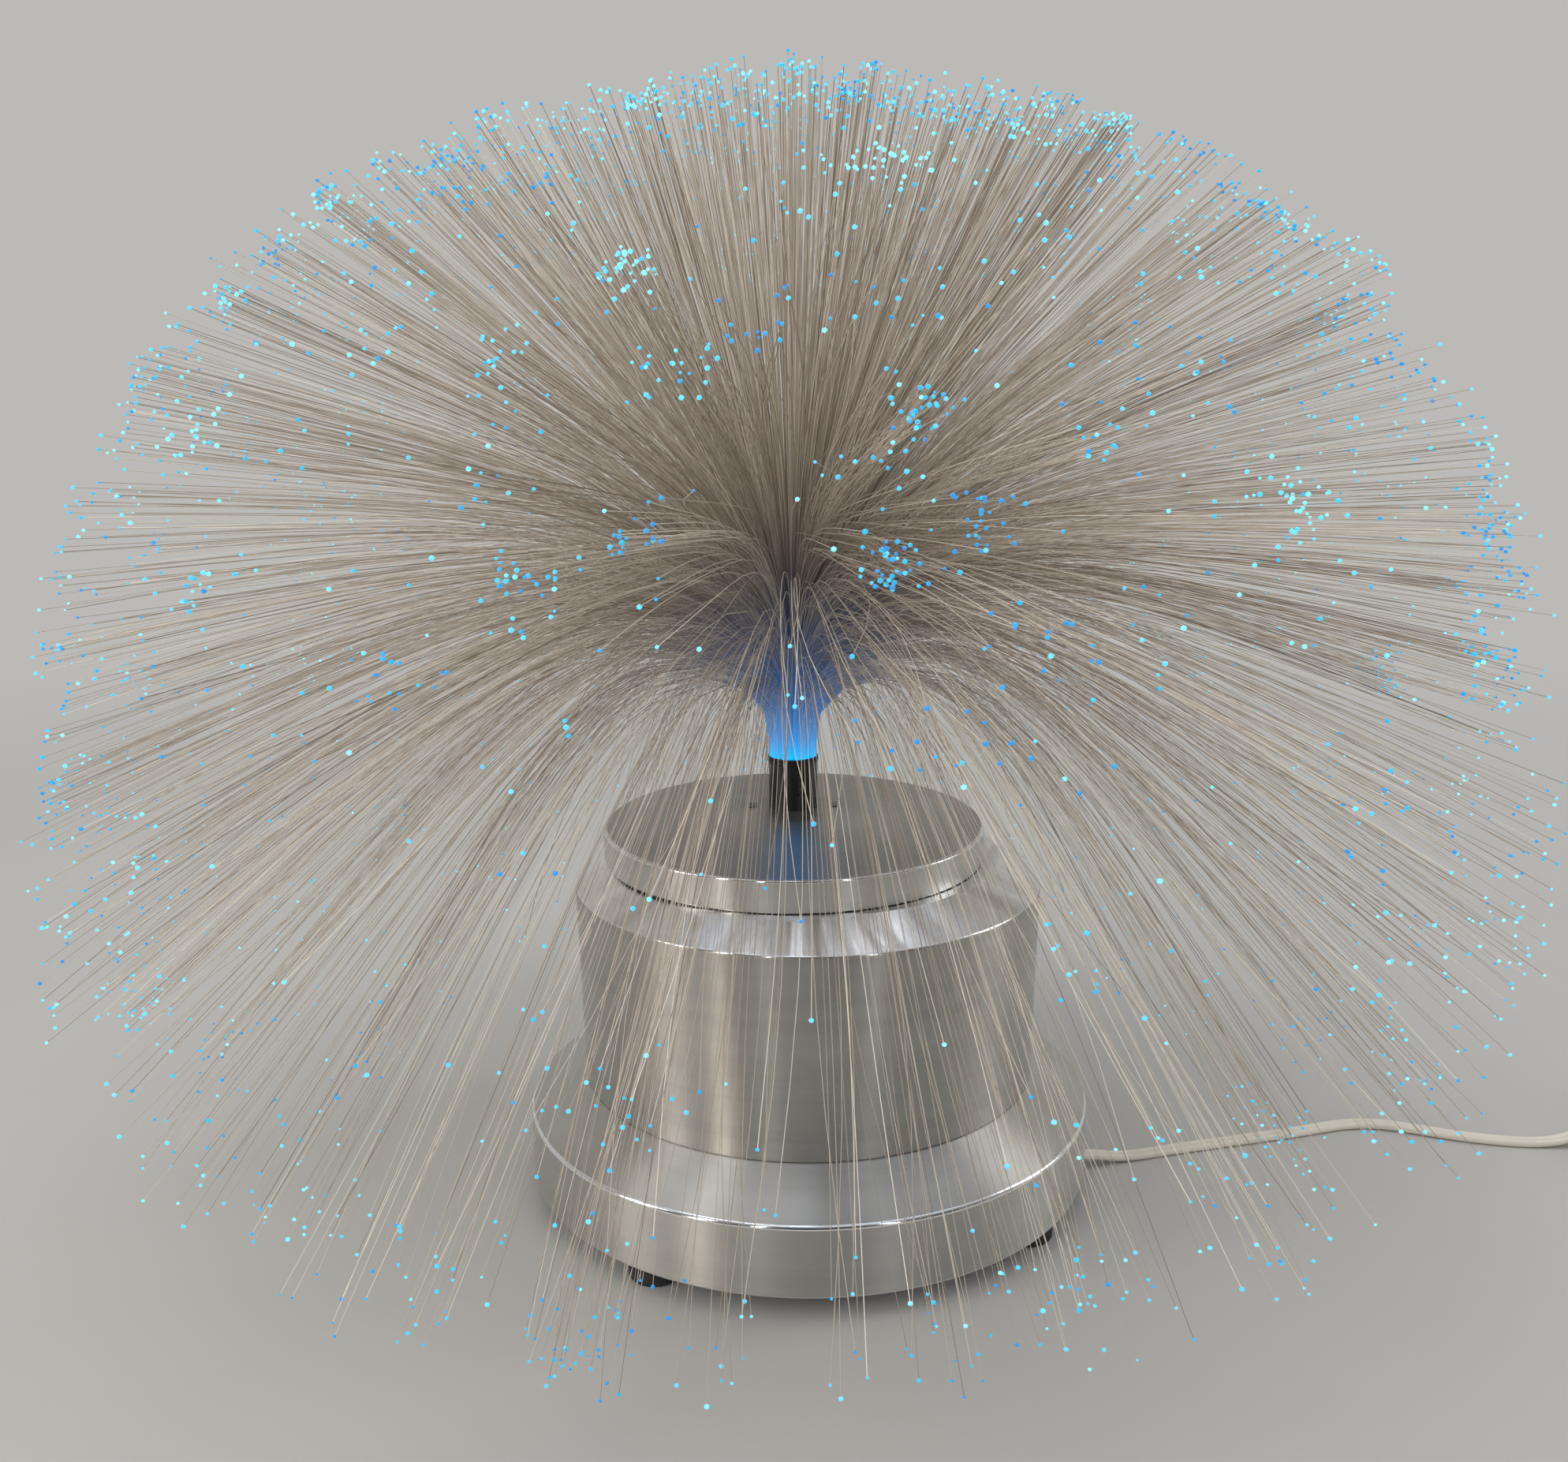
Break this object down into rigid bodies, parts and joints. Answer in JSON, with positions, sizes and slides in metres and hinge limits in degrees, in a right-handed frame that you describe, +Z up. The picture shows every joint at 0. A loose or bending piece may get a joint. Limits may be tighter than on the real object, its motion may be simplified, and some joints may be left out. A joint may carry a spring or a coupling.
{
  "type": "fibre optic lamp",
  "caption": "Table lamp: a round spray of glowing light fibres on a two-tier spun metal base with a lift-off lid, colour wheel, cord switch and plug.",
  "frame": {"origin": "on the table, straight below the middle of the fibre spray, which is the middle of the bottom of the box round the lamp without its cord", "axes": "+Z up; the front, as pictured, faces -Y; +X to the viewer's right"},
  "size_m": [0.7072, 0.5484, 0.4167],
  "materials": {
    "body_metal": "spun, satin side, polished bevel",
    "bulb_clear": "thin clear glass with a mirrored back",
    "cap_brass": "bright",
    "case_plastic": "moulded, white",
    "cord_plastic": "off-white flat twin cord with a groove along its middle",
    "drum_metal": "spun, fine turning marks, bright edge",
    "ferrule_black": "black",
    "fibre_clear": "packed clear fibres, lit from below",
    "fibre_strands": "fine clear fibres, tan in the room's light, with bright blue-white tips",
    "filament": "fine wire on a glass stem",
    "filter_amber": "coloured film",
    "filter_blue": "coloured film",
    "filter_green": "coloured film",
    "filter_red": "coloured film",
    "foot_rubber": "matte black",
    "holder_plastic": "heat-proof, off-white",
    "lid_metal": "mirror-satin top with fine turning marks",
    "pin_metal": "nickel plated",
    "screw_steel": "plain",
    "steel": "zinc plated",
    "stem_black": "satin black",
    "switch_plastic": "off-white, moulded",
    "tie": "strap",
    "wire_blue": "insulation",
    "wire_brown": "insulation"
  },
  "bodies": {
    "base": {"drum_shell": "drum_metal", "body_shell": "body_metal", "shell_screws": "screw_steel", "base_plate": "steel", "base_plate_screws": "screw_steel", "foot_front_left": "foot_rubber", "foot_front_right": "foot_rubber", "foot_back_right": "foot_rubber", "foot_back_left": "foot_rubber", "foot_screws": "screw_steel", "lamp_holder": "holder_plastic", "holder_bracket": "steel", "bulb_cap": "cap_brass", "bulb_glass": "bulb_clear", "bulb_filament": "filament", "motor_can": "steel", "motor_gearcase": "case_plastic", "motor_bracket": "steel", "bracket_screws": "screw_steel", "terminal_block": "case_plastic", "terminal_screws": "cap_brass", "lamp_wires": "wire_brown", "motor_wires": "wire_blue", "inner_lead": "cord_plastic", "cord_clamp": "case_plastic", "clamp_screws": "screw_steel", "cord_gland": "cord_plastic", "mains_cord": "cord_plastic", "switch_base": "switch_plastic", "switch_cover": "switch_plastic", "switch_screws": "screw_steel", "link_cord": "cord_plastic", "cord_coil": "cord_plastic", "cord_tie": "tie", "cord_tail": "cord_plastic", "plug_body": "switch_plastic", "plug_pins": "pin_metal"},
    "lid": {"lid_shell": "lid_metal", "stem_tube": "stem_black", "stem_bracket": "stem_black"},
    "spray": {"bundle_ferrule": "ferrule_black", "fibre_bundle": "fibre_clear", "spray_1": "fibre_strands", "spray_2": "fibre_strands", "spray_3": "fibre_strands", "spray_4": "fibre_strands", "spray_5": "fibre_strands", "spray_6": "fibre_strands", "spray_7": "fibre_strands", "spray_8": "fibre_strands"},
    "wheel": {"wheel_frame": "case_plastic", "wheel_hub": "case_plastic", "motor_shaft": "steel", "filter_red": "filter_red", "filter_amber": "filter_amber", "filter_green": "filter_green", "filter_blue": "filter_blue"},
    "rocker": {"switch_rocker": "switch_plastic"}
  },
  "joints": [
    {"name": "lid_lift", "type": "slide", "parent": "base", "child": "lid", "axis": [0, 0, 1], "range_m": [0, 0.1]},
    {"name": "spray_lift", "type": "slide", "parent": "lid", "child": "spray", "axis": [0, 0, 1], "range_m": [0, 0.06]},
    {"name": "wheel_spin", "type": "hinge", "parent": "base", "child": "wheel", "pos_m": [0, -0.036, 0.115], "axis": [0, 0, 1], "continuous": true},
    {"name": "rocker_tilt", "type": "hinge", "parent": "base", "child": "rocker", "pos_m": [0.369, -0.012, 0.014], "axis": [0, -1, 0], "range_deg": [0, 16]}
  ]
}
